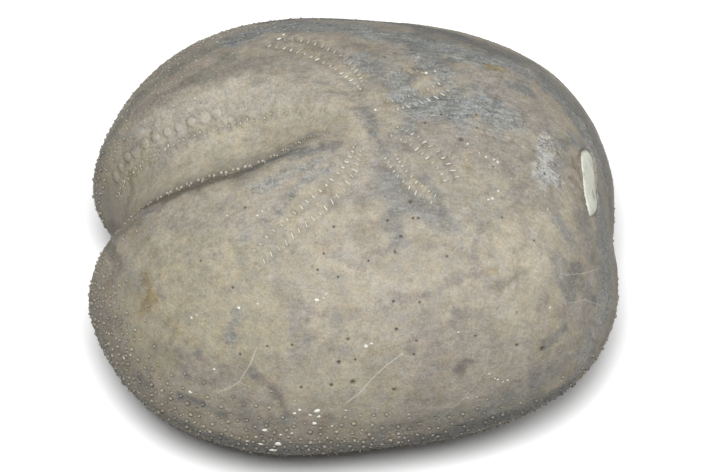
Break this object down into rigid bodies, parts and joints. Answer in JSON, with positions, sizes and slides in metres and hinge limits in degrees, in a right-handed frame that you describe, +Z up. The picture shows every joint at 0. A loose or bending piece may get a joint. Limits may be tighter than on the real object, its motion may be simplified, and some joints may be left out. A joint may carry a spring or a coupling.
{
  "type": "fossil heart urchin",
  "caption": "Stone fossil of a whole heart-shaped sea urchin test, domed above and worn flat to rest below, with a deep front groove and four short petals.",
  "frame": {"origin": "middle of the object's footprint, on the surface it lies on", "axes": "+X towards the rear of the test (the groove faces -X), +Y across it, +Z up"},
  "size_m": [0.0556, 0.0532, 0.0326],
  "materials": {
    "fossil_test": "matt, finely grained limestone, mottled beige, mauve-grey and blue-grey, with worn whitish patches"
  },
  "bodies": {
    "root": {"urchin_test": "fossil_test"}
  },
  "joints": []
}
